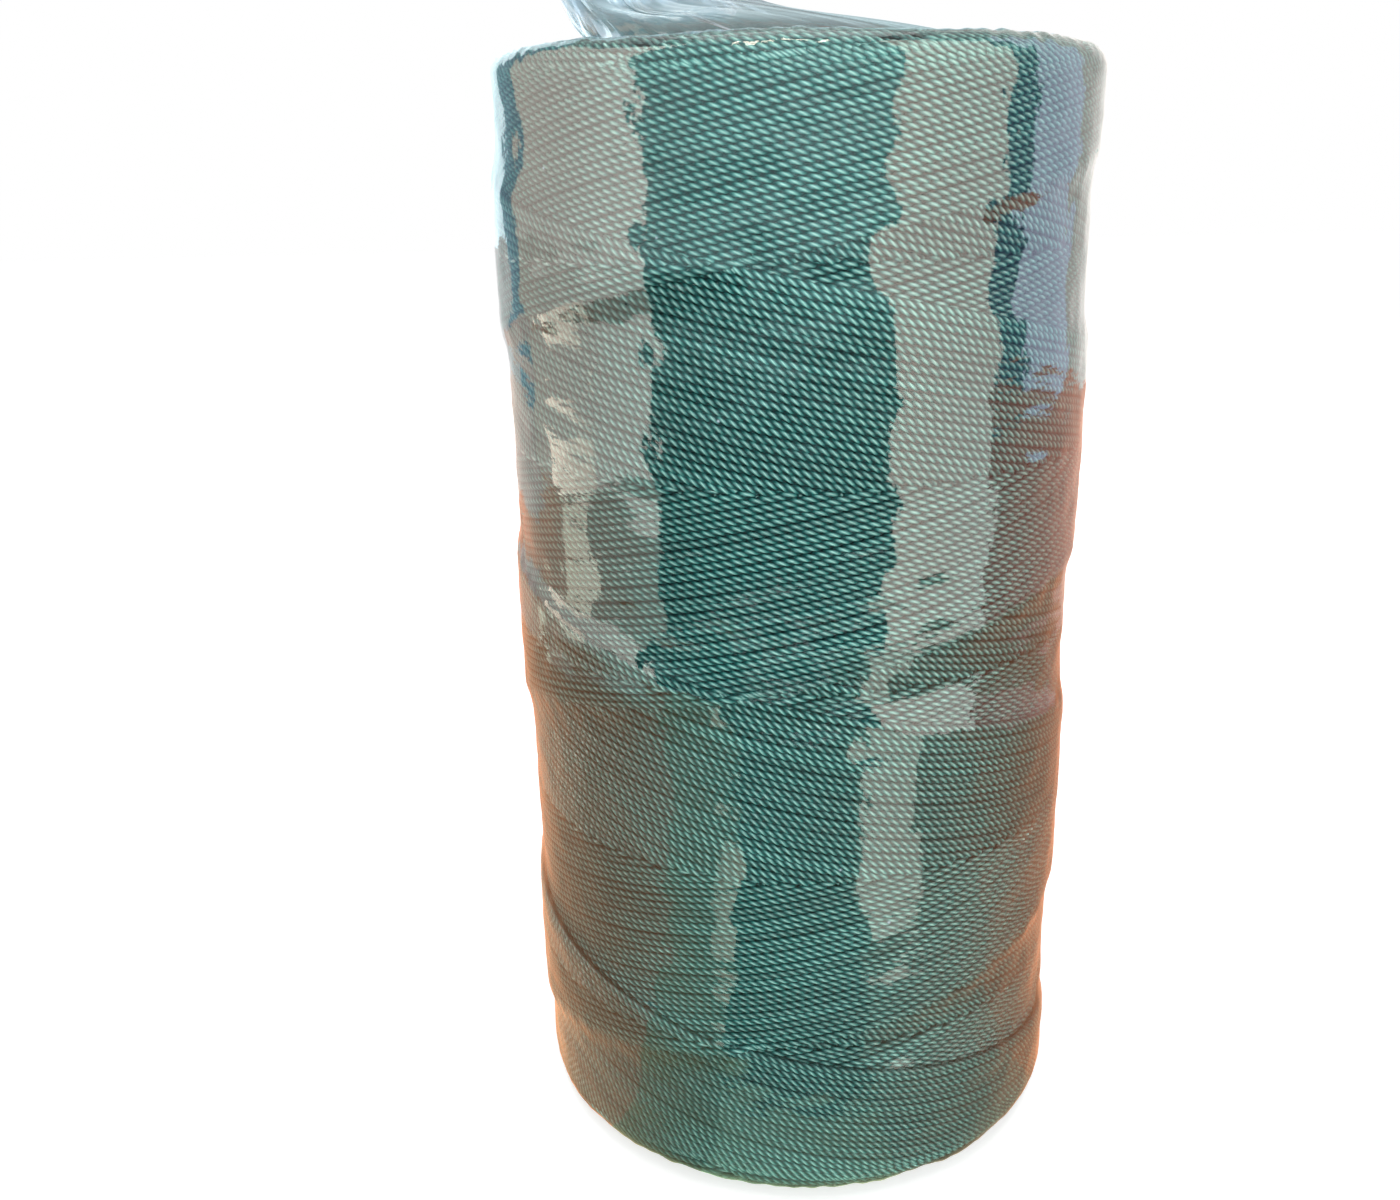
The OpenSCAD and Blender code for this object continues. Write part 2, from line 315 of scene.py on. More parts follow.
def on_profile(s, level):
    """Radius, height and outward normal of the place s, raised by level over the strands' centres."""
    core = SHOULDER_R - TWINE_D / 2
    r = np.full_like(s, WOUND_R - TWINE_D / 2)
    z = np.array(s, float)
    nr, nz = np.ones_like(s), np.zeros_like(s)
    for end, way in ((WOUND_TOP, 1.0), (WOUND_BOTTOM, -1.0)):
        past = (s - end) * way + SHOULDER_R
        turn = np.clip(past / SHOULDER_R, 0, math.pi / 2)
        flat = np.maximum(past - SHOULDER_R * math.pi / 2, 0)
        bent = past > 0
        r = np.where(bent, FACE_R + core * np.cos(turn) - flat, r)
        z = np.where(bent, end + way * (core * np.sin(turn) - SHOULDER_R), z)
        nr = np.where(bent, np.cos(turn), nr)
        nz = np.where(bent, way * np.sin(turn), nz)
    return r + nr * level, z + nz * level, nr, nz


def on_spool(azimuth, r, z):
    """Points at an azimuth, radius and height, with the top of the package settled to its right."""
    settled = DIP * (1 + DIP_TILT * np.sin(azimuth)) * smoothstep((z - WOUND_TOP) / DIP_REACH + 1)
    return np.stack([r * np.sin(azimuth), -r * np.cos(azimuth), z - settled], -1)


def layer_shares(azimuth, z):
    """How long ago the rising and the falling strand of a place were laid, as parts of the cycle."""
    x = (azimuth - FRONT_CROSSING) / TURN
    h = (z - MIDDLE_CROSSING_Z) / LEAD
    return (h - x) % 1.0, (-h - x) % 1.0


def end_fade(s):
    """1 on the wall and 0 on the end faces."""
    over = np.maximum(s - WOUND_TOP, WOUND_BOTTOM - s) + SHOULDER_R
    return 1 - smoothstep(over / BANDS_FADE)


def bands_level(azimuth, s):
    """How far the bands lift the surface, with their steps."""
    rising, falling = layer_shares(azimuth, s)
    return LAYER * (1 - rising - falling) * end_fade(s)


def ply_section(gamma):
    """Radius of three laid plies at an angle from the crest of one."""
    off = np.abs((gamma + TURN / 6) % (TURN / 3) - TURN / 6) / (TURN / 6)
    return PLY_CREST * (1 - PLY_DEPTH * off**PLY_BLUNTNESS)


def rim(azimuth):
    """How far below the end plane the loops of the reversals begin."""
    return RIM + RIM_SWAY * np.cos(RIM_WAVES * azimuth + RIM_PHASE)


# ---- meshes ----


def mesh_piece(name, points, faces, material, uv):
    """A smooth mesh from an array of points and one of triangles or quads, with a UV map named OFBake."""
    sides = faces.shape[1]
    mesh = bpy.data.meshes.new(name)
    mesh.vertices.add(len(points))
    mesh.vertices.foreach_set("co", points.astype(np.float32).ravel())
    mesh.loops.add(faces.size)
    mesh.loops.foreach_set("vertex_index", faces.astype(np.int32).ravel())
    mesh.polygons.add(len(faces))
    mesh.polygons.foreach_set("loop_start", np.arange(0, faces.size, sides, dtype=np.int32))
    mesh.update()
    mesh.polygons.foreach_set("use_smooth", np.ones(len(faces), bool))
    layer = mesh.uv_layers.new(name="OFBake")
    layer.uv.foreach_set("vector", uv[faces.ravel()].astype(np.float32).ravel())
    mesh.materials.append(material)
    mesh.validate()
    piece = bpy.data.objects.new(name, mesh)
    bpy.context.scene.collection.objects.link(piece)
    return piece


def set_attribute(piece, name, values):
    layer = piece.data.attributes.new(name, "FLOAT", "POINT")
    layer.data.foreach_set("value", values.astype(np.float32).ravel())


def ring_grid(rows, columns):
    """Quads of a grid whose columns close on themselves. The last column repeats the first."""
    i, j = np.meshgrid(np.arange(rows - 1), np.arange(columns - 1), indexing="ij")
    a = i * columns + j
    return np.stack([a, a + 1, a + columns + 1, a + columns], -1).reshape(-1, 4)


def profile_uv(azimuth, s):
    """The map of a grid that goes round the spool and along its profile."""
    return np.stack([azimuth / TURN, (s - s[0, 0]) / (s[-1, 0] - s[0, 0])], -1).reshape(-1, 2)


def place(piece, node_name):
    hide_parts(node_name)
    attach(piece, "root")


class StrandMesh:
    """Gathers half tubes of laid twine into one mesh."""

    def __init__(self):
        self.points, self.faces = [], []
        self.tone, self.crest, self.lay, self.uv = [], [], [], []
        self.count = 0
        self.rows = 0

    def add(self, azimuth, s, level, tone):
        """Adds a strand by the azimuths, places and levels of its centre."""
        r, z, nr, nz = on_profile(s, level)
        centre = on_spool(azimuth, r, z)
        out = np.stack([nr * np.sin(azimuth), -nr * np.cos(azimuth), nz], 1)
        step = np.gradient(centre, axis=0)
        length = np.linalg.norm(step, axis=1)
        along = step / length[:, None]
        out -= along * (out * along).sum(1)[:, None]
        out /= np.linalg.norm(out, axis=1)[:, None]
        side = np.cross(along, out)
        n, k = len(s), len(SECTION_ANGLES)
        turn = TURN * (np.arange(n) + rng.integers(0, RINGS_PER_LAY)) / RINGS_PER_LAY
        gamma = SECTION_ANGLES[None, :] - turn[:, None]
        rho = ply_section(gamma)
        across = np.cos(SECTION_ANGLES)[None, :, None] * out[:, None]
        across = across + SPREAD * np.sin(SECTION_ANGLES)[None, :, None] * side[:, None]
        ring = centre[:, None] + rho[..., None] * across
        i, j = np.meshgrid(np.arange(n - 1), np.arange(k - 1), indexing="ij")
        a = self.count + i * k + j
        # The diagonals follow the plies.
        low = np.stack([a, a + k, a + k + 1], -1).reshape(-1, 3)
        high = np.stack([a, a + k + 1, a + 1], -1).reshape(-1, 3)
        run = np.concatenate([[0], np.cumsum(length[1:])])
        u = np.repeat(run[:, None], k, 1)
        v = np.repeat((np.arange(k) / (k - 1))[None], n, 0)
        row = v * (1 - 2 * UV_MARGIN) + UV_MARGIN + self.rows
        shift = 0 * u + FIBRE_SHIFT * self.rows
        self.points.append(ring.reshape(-1, 3))
        self.faces.append(np.concatenate([low, high]))
        self.tone.append(np.full(n * k, tone))
        self.crest.append(np.tile(np.cos(SECTION_ANGLES), n))
        self.lay.append(np.stack([u / MM, gamma * PLY_CREST / MM, shift], -1))
        self.uv.append(np.stack([u, row], -1).reshape(-1, 2))
        self.rows += 1
        self.count += n * k

    def build(self, name, material):
        """The piece, with the tone of each strand, the backs of the strands and the lay of the plies."""
        points = np.concatenate(self.points)
        faces = np.concatenate(self.faces)
        uv = np.concatenate(self.uv)
        uv /= uv.max(0)
        piece = mesh_piece(name, points, faces, material, uv)
        set_attribute(piece, "tone", np.concatenate(self.tone))
        set_attribute(piece, "crest", np.concatenate(self.crest))
        layer = piece.data.attributes.new("lay", "FLOAT_VECTOR", "POINT")
        lay = np.concatenate([block.reshape(-1, 3) for block in self.lay])
        layer.data.foreach_set("vector", lay.astype(np.float32).ravel())
        return piece


# ---- shader nodes ----


def node(tree, kind, inputs=None, **settings):
    """A node with its settings made, and its inputs set to values or linked to sockets."""
    made = tree.nodes.new(kind)
    for name, value in settings.items():
        setattr(made, name, value)
    for name, value in (inputs or {}).items():
        if isinstance(value, bpy.types.NodeSocket):
            tree.links.new(value, made.inputs[name])
        else:
            made.inputs[name].default_value = value
    return made


def empty_tree(owner):
    owner.use_nodes = True
    owner.node_tree.nodes.clear()
    return owner.node_tree


def new_material(name):
    material = bpy.data.materials.new(name)
    return material, empty_tree(material)


def show(tree, shader, output="ShaderNodeOutputMaterial"):
    """Ends a material or a world in its output."""
    node(tree, output, {"Surface": shader.outputs[0]})


def math_node(tree, operation, a, b):
    return node(tree, "ShaderNodeMath", {0: a, 1: b}, operation=operation).outputs[0]


def map_range(tree, value, source, target):
    """Maps a value from the two ends of one range to those of another."""
    inputs = {"Value": value, "From Min": source[0], "From Max": source[1]}
    inputs |= {"To Min": target[0], "To Max": target[1]}
    return node(tree, "ShaderNodeMapRange", inputs).outputs[0]


def attribute(tree, name):
    return node(tree, "ShaderNodeAttribute", attribute_name=name)


def object_place(tree):
    return node(tree, "ShaderNodeTexCoord").outputs["Object"]


def stretched(tree, vector, scale):
    return node(tree, "ShaderNodeMapping", {"Vector": vector, "Scale": scale}).outputs[0]


def noise(tree, vector, scale, detail=2.0, roughness=0.5):
    inputs = {"Vector": vector, "Scale": scale, "Detail": detail, "Roughness": roughness}
    return node(tree, "ShaderNodeTexNoise", inputs).outputs["Fac"]


def bump(tree, height, strength, distance, **below):
    """A bumped normal, on top of the one that Normal gives below it."""
    inputs = {"Height": height, "Strength": strength, "Distance": distance, **below}
    return node(tree, "ShaderNodeBump", inputs).outputs["Normal"]


def mix_shaders(tree, factor, first, second):
    return node(tree, "ShaderNodeMixShader", {0: factor, 1: first.outputs[0], 2: second.outputs[0]})


def ramp(tree, factor, stops):
    made = node(tree, "ShaderNodeValToRGB", {"Fac": factor})
    elements = made.color_ramp.elements
    while len(elements) < len(stops):
        elements.new(0.5)
    for element, (where, colour) in zip(elements, stops):
        element.position = where
        element.color = (*colour, 1)
    return made.outputs["Color"]


def srgb(r, g, b):
    """Linear colour from 8-bit sRGB numbers."""
    return tuple(((c / 255 + 0.055) / 1.055) ** 2.4 for c in (r, g, b))


def seen_share(tree):
    """1 for rays from the camera, a mirror or a window, else 0."""
    path = node(tree, "ShaderNodeLightPath")
    seen = math_node(tree, "MAXIMUM", path.outputs["Is Camera Ray"], path.outputs["Is Glossy Ray"])
    return math_node(tree, "MAXIMUM", seen, path.outputs["Is Transmission Ray"])


# ---- materials ----


def twine_material():
    """Satin nylon: three plies, each of fine parallel fibres, with painted shade in the grooves between
    them and on the strands' flanks, and painted highlights on the plies' crests.
    """
    material, tree = new_material("twine")
    tone = attribute(tree, "tone").outputs["Fac"]
    crest = attribute(tree, "crest").outputs["Fac"]
    lay = attribute(tree, "lay").outputs["Vector"]
    blotch = noise(tree, object_place(tree), scale=60.0, detail=3.0)
    fibres = noise(tree, stretched(tree, lay, FIBRE_STRETCH), scale=1.0)
    # Painted shade: the flanks of a strand are darkened in colour, as if in the shade of its neighbours.
    painted_flank_light = map_range(tree, crest, FLANK_TO_BACK, (FLANK_PAINTED_LIGHT, 1.0))
    # 0 on the crest of a ply and 1 in the groove beside it.
    half = TURN / 6 * PLY_CREST / MM
    across = node(tree, "ShaderNodeSeparateXYZ", {"Vector": lay}).outputs["Y"]
    off = math_node(tree, "DIVIDE", math_node(tree, "PINGPONG", across, half), half)
    # Painted light: the colour is pale on the crest of a ply and dark in the groove beside it.
    painted_ply_highlight = math_node(tree, "MULTIPLY", math_node(tree, "SUBTRACT", 1.0, off), painted_flank_light)
    # The ramp's pale end is a painted highlight and its dark end painted shade.
    laid = ramp(
        tree,
        painted_ply_highlight,
        [
            (0.0, srgb(0, 64, 64)),
            (0.35, srgb(14, 104, 101)),
            (0.7, srgb(100, 176, 167)),
            (1.0, srgb(184, 226, 214)),
        ],
    )
    shade = math_node(tree, "ADD", math_node(tree, "ADD", tone, blotch), fibres)
    gain = map_range(tree, shade, (0.9, 2.1), TONES)
    # Painted shade: the colour's value falls towards the strands' flanks.
    depth = math_node(tree, "ADD", math_node(tree, "MULTIPLY", painted_flank_light, FLANK_PAINTED_SHADE), 1 - FLANK_PAINTED_SHADE)
    value = math_node(tree, "MULTIPLY", gain, depth)
    colour = node(tree, "ShaderNodeHueSaturation", {"Color": laid, "Value": value})
    groove = math_node(tree, "MULTIPLY", math_node(tree, "POWER", off, 3.0), -GROOVE_RELIEF)
    height = math_node(tree, "ADD", groove, math_node(tree, "MULTIPLY", fibres, FIBRE_RELIEF))
    surface = node(
        tree,
        "ShaderNodeBsdfPrincipled",
        {
            "Base Color": colour.outputs["Color"],
            "Roughness": 0.3,
            "Specular IOR Level": 1.0,
            "Sheen Weight": 0.05,
            "Sheen Roughness": 0.4,
            "Normal": bump(tree, height, strength=1.0, distance=MM),
        },
    )
    show(tree, surface)
    return material


def film_material():
    """Clear film: a mirror over a see-through sheet, with dust, crumples, and haze where it is gathered."""
    material, tree = new_material("film")
    where = object_place(tree)
    gathered = attribute(tree, "gathered").outputs["Fac"]
    haze = math_node(tree, "ADD", math_node(tree, "MULTIPLY", gathered, GATHERED_HAZE), FILM_HAZE)
    rough = math_node(tree, "MULTIPLY", gathered, GATHERED_ROUGHNESS)
    roughness = math_node(tree, "ADD", rough, FILM_ROUGHNESS)
    tint = ramp(tree, gathered, [(0.0, (0.97, 0.985, 0.985)), (1.0, (0.68, 0.8, 0.87))])
    crumples = noise(tree, where, scale=160.0, detail=3.0)
    print_through = noise(tree, stretched(tree, where, (350.0, 350.0, 1000.0)), scale=1.0)
    crumpled = bump(tree, crumples, strength=0.25, distance=0.6 * MM)
    normal = bump(tree, print_through, strength=0.3, distance=0.12 * MM, Normal=crumpled)
    dust = node(tree, "ShaderNodeTexVoronoi", {"Vector": where, "Scale": 110.0})
    chosen = node(tree, "ShaderNodeSeparateColor", {"Color": dust.outputs["Color"]})
    rare = math_node(tree, "GREATER_THAN", chosen.outputs["Red"], DUST_FREE)
    speck = map_range(tree, dust.outputs["Distance"], SPECK_EDGE, (SPECK_CLOUD, 0.0))
    clear = node(tree, "ShaderNodeBsdfTransparent", {"Color": tint})
    milk = node(tree, "ShaderNodeBsdfDiffuse", {"Color": (0.5, 0.64, 0.72, 1)})
    cloud = math_node(tree, "ADD", math_node(tree, "MULTIPLY", speck, rare), haze)
    body = mix_shaders(tree, cloud, clear, milk)
    glossy = node(
        tree,
        "ShaderNodeBsdfAnisotropic",
        {"Color": WHITE, "Roughness": roughness, "Normal": normal},
        distribution="MULTI_GGX",
    )
    fresnel = node(tree, "ShaderNodeFresnel", {"IOR": FILM_IOR, "Normal": normal})
    show(tree, mix_shaders(tree, fresnel.outputs[0], body, glossy))
    return material


def paper_material():
    """Grey-brown paperboard, wound in a spiral."""
    material, tree = new_material("paperboard")
    where = object_place(tree)
    fibre = noise(tree, where, scale=900.0, detail=4.0, roughness=0.65)
    mottle = math_node(tree, "ADD", noise(tree, where, scale=90.0, detail=3.0), 0.5)
    axes = node(tree, "ShaderNodeSeparateXYZ", {"Vector": where})
    angle = math_node(tree, "ARCTAN2", axes.outputs["X"], axes.outputs["Y"])
    climb = math_node(tree, "MULTIPLY", axes.outputs["Z"], 1 / PAPER_PITCH)
    spiral = math_node(tree, "ADD", math_node(tree, "DIVIDE", angle, TURN), climb)
    seam = math_node(tree, "PINGPONG", spiral, 0.5)
    line = map_range(tree, seam, (0.0, SEAM_HALF), (SEAM_SHADE, 1.0))
    tint = ramp(
        tree,
        math_node(tree, "MULTIPLY", fibre, mottle),
        [(0.25, srgb(128, 106, 78)), (0.5, srgb(164, 140, 108)), (0.8, srgb(186, 164, 132))],
    )
    colour = node(tree, "ShaderNodeHueSaturation", {"Color": tint, "Value": line})
    surface = node(
        tree,
        "ShaderNodeBsdfPrincipled",
        {
            "Base Color": colour.outputs["Color"],
            "Roughness": 0.85,
            "Specular IOR Level": 0.25,
            "Normal": bump(tree, fibre, strength=0.3, distance=0.05 * MM),
        },
    )
    show(tree, surface)
    return material


# ---- the wound twine ----


def strand_runs(rising):
    """Every visible run of one family: azimuths, heights on an endless wall, and levels."""
    low = (WOUND_BOTTOM - PAST_END - MIDDLE_CROSSING_Z) / LEAD
    high = (WOUND_TOP + PAST_END - MIDDLE_CROSSING_Z) / LEAD
    way = 1 if rising else -1
    newest = 1 + EDGE_MARGIN / STRANDS_PER_LEAD
    for age in range(STRANDS_PER_LEAD):
        own = (age + 0.5) / STRANDS_PER_LEAD
        covered_at = age if rising else age + 1
        last = (covered_at - DIVE_MARGIN) / STRANDS_PER_LEAD
        for n in CYCLES:
            for m in CYCLES:
                # x counts turns from the front crossing, and a run starts within half a turn of it.
                x0 = (-(n + own) - m - newest) / 2
                x1 = (-(n + own) - m - last) / 2
                if not -0.5 <= x0 < 0.5:
                    continue
                count = max(LEAST_RINGS, int((x1 - x0) * TURN * WOUND_R / RING_STEP) + 1)
                x = np.linspace(x0, x1, count)
                h = way * (n + own + x)
                other = -(n + own) - 2 * x - m
                keep = (h > low) & (h < high)
                if keep.sum() < LEAST_RINGS:
                    continue
                x, h, other = x[keep], h[keep], other[keep]
                under = smoothstep(covered_at + 0.5 - other * STRANDS_PER_LEAD)
                level = LAYER * (1 - own - other) - TWINE_D * under
                yield FRONT_CROSSING + x * TURN, MIDDLE_CROSSING_Z + h * LEAD, level


def build_winding(material):
    """The two crossing families of strands, each in pieces from the bottom to the top."""
    for rising, family in ((True, "rising"), (False, "falling")):
        meshes = [StrandMesh() for _ in range(PIECES_PER_FAMILY)]
        runs = sorted(strand_runs(rising), key=lambda run: run[1].mean())
        ends = np.cumsum([len(run[0]) for run in runs])
        parts = (ends - 1) * PIECES_PER_FAMILY // ends[-1]
        for part, (azimuth, z, level) in zip(parts, runs):
            sways = rng.integers(*SWAYS_PER_TURN)
            sway = STRAND_SWAY * np.sin(azimuth * sways + rng.uniform(0, TURN))
            z = z + sway + rng.normal(0, STRAND_SCATTER)
            s = eased(z)
            beyond = np.maximum(s - WOUND_TOP, WOUND_BOTTOM - s) + rim(azimuth)
            level = level * end_fade(s) + rng.normal(0, STRAND_SCATTER)
            level = level - TWINE_D * smoothstep(beyond / RIM_DIVE + RIM_DIVE_EARLY)
            meshes[part].add(azimuth, s, level, rng.uniform(0, 1))
        for i, mesh in enumerate(meshes):
            place(mesh.build(f"twine_{family}_{i + 1}", material), "twine_turns")


def build_end_loops(material):
    """The loops where the strands turn back: over the shoulders and across the end faces."""
    rings = int((RIM + past_end(TUBE_R) - TWINE_D / 2) / TWINE_D)
    start_at, start_over = START_DIVE
    end_at, end_over = END_DIVE
    for end, way, name in ((WOUND_TOP, 1, "top"), (WOUND_BOTTOM, -1, "bottom")):
        inner, outer = StrandMesh(), StrandMesh()
        loops = [
            (q, TURN * ((m + LOOP_SCATTER * rng.normal()) / ARCS_PER_RING + q * LOOP_TURN))
            for q in range(rings + 1)
            for m in range(ARCS_PER_RING)
        ]
        for q, middle in loops:
            s0 = end + way * (q * TWINE_D - RIM)
            r0 = float(on_profile(np.array([s0]), 0)[0][0])
            count = int(2 * ARC_HALF * r0 / RING_STEP) + 1
            t = np.linspace(-1, 1, count)
            azimuth = middle + way * t * ARC_HALF
            settle = (RIM - rim(azimuth)) * max(0, 1 - q / SWAY_RINGS)
            bend = np.abs(t) ** LOOP_BEND + LOOP_SLANT * rng.normal() * t
            s = s0 + way * (settle - TWINE_D * bend)
            dive = smoothstep((t - end_at) / end_over) + smoothstep((-t - start_at) / start_over)
            level = rng.normal(0, LOOP_LIFT) - TWINE_D * dive
            half = outer if q < OUTER_RINGS else inner
            half.add(azimuth, s, level, rng.uniform(0, 1))
        place(outer.build(f"twine_loops_{name}_outer", material), "twine_turns")
        place(inner.build(f"twine_loops_{name}_inner", material), "twine_turns")


def build_underlayer(material):
    """The layer that shows between the strands. It has no crest or lay attribute, so the twine's painted
    shade darkens it all over.
    """
    azimuth = np.linspace(0, TURN, UNDERLAYER_COLUMNS + 1)
    s = profile_places(UNDERLAYER_STEP, TUBE_R + UNDERLAYER_GAP)
    grid_s, grid_a = np.meshgrid(s, azimuth, indexing="ij")
    r, z, _, _ = on_profile(grid_s, bands_level(grid_a, grid_s) - UNDERLAYER_DEPTH)
    points = on_spool(grid_a, r, z).reshape(-1, 3)
    faces = ring_grid(len(s), len(azimuth))
    piece = mesh_piece("twine_underlayer", points, faces, material, profile_uv(grid_a, grid_s))
    place(piece, "twine_body")


# ---- the film ----


def waves(azimuth, s, count, azimuth_span, s_span, seed):
    """Smooth seeded noise of unit strength, closed round the spool."""
    local = np.random.default_rng(seed)
    total = 0 * azimuth
    for _ in range(count):
        turns = local.integers(-azimuth_span, azimuth_span + 1)
        pitch = local.normal(0, 1) / s_span
        total = total + np.cos(turns * azimuth + TURN * pitch * s + local.uniform(0, TURN))
    return total * math.sqrt(2 / count)


def spread(grid, pick):
    """Each place of a grid gets the pick of itself and its four neighbours."""
    sideways = pick(np.roll(grid, 1, 1), np.roll(grid, -1, 1))
    lengthways = pick(np.vstack([grid[:1], grid[:-1]]), np.vstack([grid[1:], grid[-1:]]))
    return pick(grid, pick(sideways, lengthways))


def smoothed(grid, passes):
    """A grid that closes on itself sideways, with each place averaged with its neighbours."""
    for _ in range(passes):
        grid = (2 * grid + np.roll(grid, 1, 1) + np.roll(grid, -1, 1)) / 4
        grid = (2 * grid + np.vstack([grid[:1], grid[:-1]]) + np.vstack([grid[1:], grid[-1:]])) / 4
    return grid


def closed_over(level):
    """Film drawn over the steps of a grid of levels, so that it bridges the hollows."""
    bridged = level
    for pick, size in ((np.maximum, FILM_REACH), (np.minimum, FILM_REACH - 1)):
        for _ in range(size):
            bridged = spread(bridged, pick)
    # The edges of the bands stay under the film, too.
    over_edges = spread(level, np.maximum)
    return smoothed(np.maximum(smoothed(bridged, BRIDGE_PASSES), over_edges), EDGE_PASSES)


def pleats(azimuth):
    """Height of the gathers round the crown, about -1 to 1."""
    s = 0 * azimuth
    uneven = UNEVEN_PLEATS * waves(azimuth, s, *PLEAT_WAVES)
    creases = CREASES * np.abs(waves(azimuth, s, *CREASE_WAVES))
    return EVEN_PLEATS * np.cos(PLEATS * azimuth) + uneven + creases - PLEATS_DOWN


def build_sleeve(material):
    """The film round the winding. Gives the points of its lip, where the crown begins."""
    azimuth = np.linspace(0, TURN, FILM_COLUMNS + 1)
    s = profile_places(FILM_STEP, TUBE_R + FILM_GAP)
    s = s[s < WOUND_TOP + past_end(LIP_R)]
    grid_s, grid_a = np.meshgrid(s, azimuth[:-1], indexing="ij")
    wrinkles = sum(height * waves(grid_a, grid_s, *shape) for height, shape in WRINKLES)
    past = (np.abs(grid_s - WOUND_BOTTOM - HALF_H) - HALF_H) / SHOULDER_R + 1
    on_shoulder = smoothstep(past) * smoothstep(SHOULDER_WRINKLES_END - past)
    wrinkles += SHOULDER_WRINKLES * on_shoulder * waves(grid_a, grid_s, *SHOULDER_WAVES)
    gathers = FACE_GATHERS * (1 - end_fade(grid_s)) * pleats(grid_a)
    level = closed_over(bands_level(grid_a, grid_s)) + TWINE_D / 2 + FILM_AIR + wrinkles + gathers
    r, z, _, _ = on_profile(grid_s, level)
    z = np.maximum(z, SLEEVE_LOW.z + FILM_OFF_FLOOR)
    points = on_spool(grid_a, r, z)
    points = np.concatenate([points, points[:, :1]], 1)
    full_s, full_a = np.meshgrid(s, azimuth, indexing="ij")
    faces = ring_grid(len(s), len(azimuth))
    uv = profile_uv(full_a, full_s)
    piece = mesh_piece("film_wrap", points.reshape(-1, 3), faces, material, uv)
    inward = smoothstep((full_s - WOUND_TOP) / (TOP_LIP - CROWN_OVERLAP))
    set_attribute(piece, "gathered", FILM_AT_LIP * inward)
    place(piece, "film_sleeve")
    return points[-1]


def build_crown(material, lip):
    """The gathered mouth of the film, from the sleeve's lip to the cut end of its tail."""
    azimuth = np.linspace(0, TURN, len(lip))
    u, a = np.meshgrid(np.linspace(0, 1, CROWN_ROWS), azimuth, indexing="ij")
    gathered = smoothstep(u / THROAT_AT)
    flared = np.clip((u - THROAT_AT) / (1 - THROAT_AT), 0, 1)
    width = LIP_R + (THROAT_R - LIP_R) * gathered + (TAIL_R - THROAT_R) * flared
    depth = LIP_R + (THROAT_R * TAIL_FLATNESS - LIP_R) * gathered
    depth = depth + (TAIL_R - THROAT_R) * TAIL_FLATNESS * flared
    shift = -CROWN_LEAN * (LEAN_AT_THROAT * gathered + (1 - LEAN_AT_THROAT) * flared)
    crumple = CRUMPLES * gathered * np.abs(waves(a, u, *CRUMPLE_WAVES))
    crumple += FINE_CRUMPLES * gathered * waves(a, u, *FINE_CRUMPLE_WAVES)
    fold = CROWN_PLEATS * np.sqrt(gathered) * pleats(a) + crumple
    x = shift + (width + fold) * np.sin(a)
    y = -(depth + fold) * np.cos(a)
    settled = DIP * (1 + DIP_TILT * np.sin(a)) * (1 - gathered)
    sway = CUT_END_SWAY * gathered * waves(a, u, *CUT_END_WAVES)
    z = SLEEVE_HIGH.z + CROWN_H * u + sway - settled
    points = np.stack([x, y, z], -1)
    blend = smoothstep(u / LEAVES_LIP)[..., None]
    points = (lip[None] + (points - points[:1])) * (1 - blend) + points * blend
    points[:, -1] = points[:, 0]
    uv = np.stack([a / TURN, u], -1).reshape(-1, 2)
    faces = ring_grid(CROWN_ROWS, len(lip))
    piece = mesh_piece("film_gather", points.reshape(-1, 3), faces, material, uv)
    set_attribute(piece, "gathered", FILM_AT_LIP + (1 - FILM_AT_LIP) * smoothstep(u / GATHERED_BY))
    place(piece, "film_crown")


# ---- camera ----


def make_camera():
    """The photograph's camera: turned by YAW, tipped down by PITCH and rolled by ROLL."""
    forward = Vector(
        (-math.sin(YAW) * math.cos(PITCH), math.cos(YAW) * math.cos(PITCH), -math.sin(PITCH))
    )
    right = Vector((math.cos(YAW), math.sin(YAW), 0))
    up = right.cross(forward)
    right_rolled = right * math.cos(ROLL) + up * math.sin(ROLL)
    up_rolled = -right * math.sin(ROLL) + up * math.cos(ROLL)
    data = bpy.data.cameras.new("camera")
    data.sensor_width = SENSOR
    data.lens = FOCAL_PIXELS / FRAME_W * SENSOR
    data.clip_start = CLIP_START
    camera = bpy.data.objects.new("camera", data)
    axes = Matrix((right_rolled, up_rolled, -forward)).transposed()
    position = Vector((0, -CAMERA_BACK, WOUND_TOP - CAMERA_DROP))
    camera.matrix_world = Matrix.Translation(position) @ axes.to_4x4()
    bpy.context.scene.collection.objects.link(camera)
    bpy.context.scene.camera = camera


# ---- stage and light ----


def build_floor():
    """A pale floor that keeps the spool's shadow and looks white further off."""
    material, tree = new_material("stage")
    paint = node(tree, "ShaderNodeBsdfDiffuse", {"Color": FLOOR_COLOUR})
    # Near the spool the floor's own glow is less, so that the shadow stays.
    away = node(tree, "ShaderNodeVectorMath", {0: object_place(tree)}, operation="LENGTH")
    strength = map_range(tree, away.outputs["Value"], GLOW_REACH, GLOW)
    glow = node(tree, "ShaderNodeEmission", {"Color": WHITE, "Strength": strength})
    both = node(tree, "ShaderNodeAddShader", {0: paint.outputs[0], 1: glow.outputs[0]})
    show(tree, mix_shaders(tree, seen_share(tree), paint, both))
    corners = [(x * FLOOR_HALF, y * FLOOR_HALF, 0) for x, y in ((-1, -1), (1, -1), (1, 1), (-1, 1))]
    mesh = bpy.data.meshes.new("floor")
    mesh.from_pydata(corners, [], [(0, 1, 2, 3)])
    mesh.materials.append(material)
    floor = bpy.data.objects.new("floor", mesh)
    floor.location.z = FLOOR_Z
    bpy.context.scene.collection.objects.link(floor)


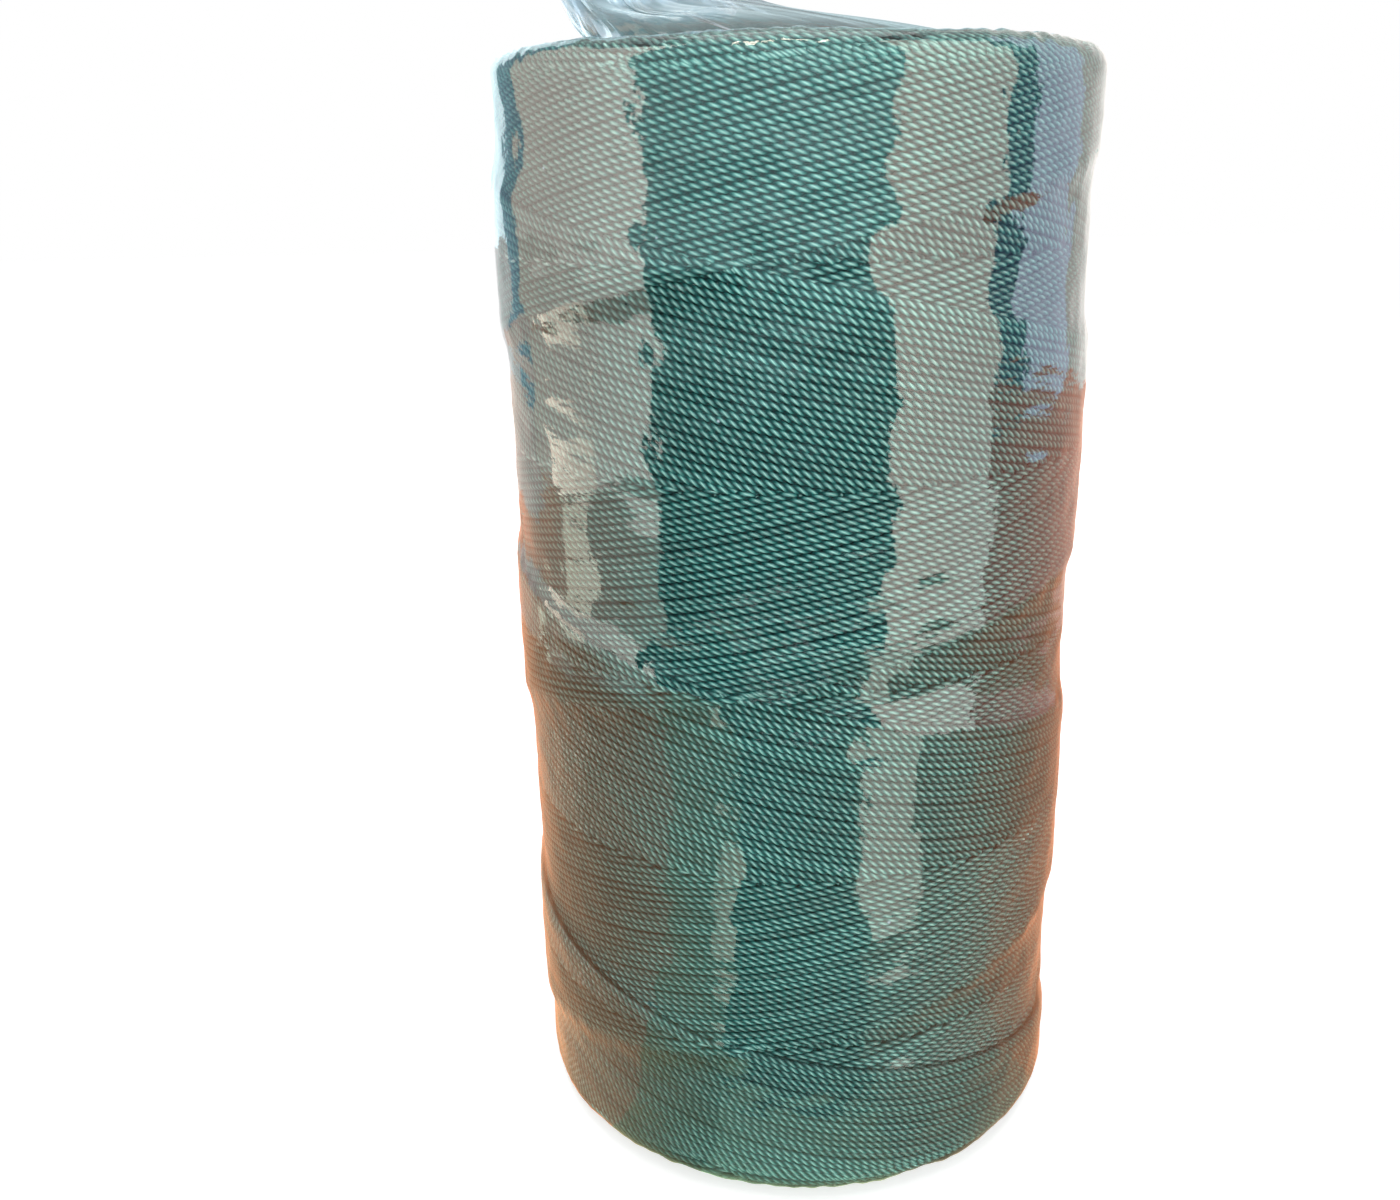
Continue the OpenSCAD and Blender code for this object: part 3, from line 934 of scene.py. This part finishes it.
def build_world():
    """A plain light, which is white where it shows."""
    world = bpy.data.worlds.new("world")
    bpy.context.scene.world = world
    tree = empty_tree(world)
    sky = node(tree, "ShaderNodeBackground", {"Color": WHITE, "Strength": WORLD_STRENGTH})
    white = node(tree, "ShaderNodeBackground", {"Color": WHITE, "Strength": 1.0})
    show(tree, mix_shaders(tree, seen_share(tree), sky, white), "ShaderNodeOutputWorld")


def softbox(name, azimuth, distance, height, width, tall, radiance):
    """An area lamp aimed at the middle of the spool, at an azimuth in degrees from the front."""
    light = bpy.data.lights.new(name, "AREA")
    light.shape = "RECTANGLE"
    light.size = width
    light.size_y = tall
    light.energy = radiance * math.pi * width * tall
    lamp = bpy.data.objects.new(name, light)
    a = math.radians(azimuth)
    lamp.location = (distance * math.sin(a), -distance * math.cos(a), height)
    aim = Vector((0, 0, WOUND_TOP / 2)) - lamp.location
    lamp.rotation_euler = aim.to_track_quat("-Z", "Y").to_euler()
    lamp.visible_camera = False
    bpy.context.scene.collection.objects.link(lamp)


def board(name, azimuths, lower, upper, start, end):
    """A curved studio board round the spool, which only gloss sees: its glow is a painted reflection.

    Its radiance runs from start to end along the azimuths. A dark board is a flag.
    """
    material, tree = new_material(name)
    glow = attribute(tree, "glow").outputs["Color"]
    show(tree, node(tree, "ShaderNodeEmission", {"Color": glow}))
    share = np.linspace(0, 1, BOARD_COLUMNS)
    azimuth = np.radians(azimuths[0] + (azimuths[1] - azimuths[0]) * share)
    edges = [
        np.stack([r * np.sin(azimuth), -r * np.cos(azimuth), 0 * azimuth + z], 1)
        for r, z in (lower, upper)
    ]
    count = BOARD_COLUMNS
    faces = [(i, i + 1, i + 1 + count, i + count) for i in range(count - 1)]
    mesh = bpy.data.meshes.new(name)
    mesh.from_pydata(np.concatenate(edges).tolist(), [], faces)
    radiance = np.array(start) + np.outer(share, np.array(end) - np.array(start))
    colours = np.tile(np.concatenate([radiance, np.ones((count, 1))], 1), (2, 1))
    layer = mesh.attributes.new("glow", "FLOAT_COLOR", "POINT")
    layer.data.foreach_set("color", colours.astype(np.float32).ravel())
    mesh.materials.append(material)
    piece = bpy.data.objects.new(name, mesh)
    piece.visible_camera = False
    piece.visible_diffuse = False
    piece.visible_shadow = False
    bpy.context.scene.collection.objects.link(piece)


# ---- the whole ----

twine = twine_material()
film = film_material()
build_winding(twine)
build_end_loops(twine)
build_underlayer(twine)
build_crown(film, build_sleeve(film))
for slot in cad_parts["core_tube"].material_slots:
    slot.material = paper_material()

make_camera()
build_floor()
build_world()
for lamp in LAMPS:
    softbox(*lamp)
for mirrored in BOARDS:
    board(*mirrored)
bpy.context.scene.view_settings.view_transform = "Standard"
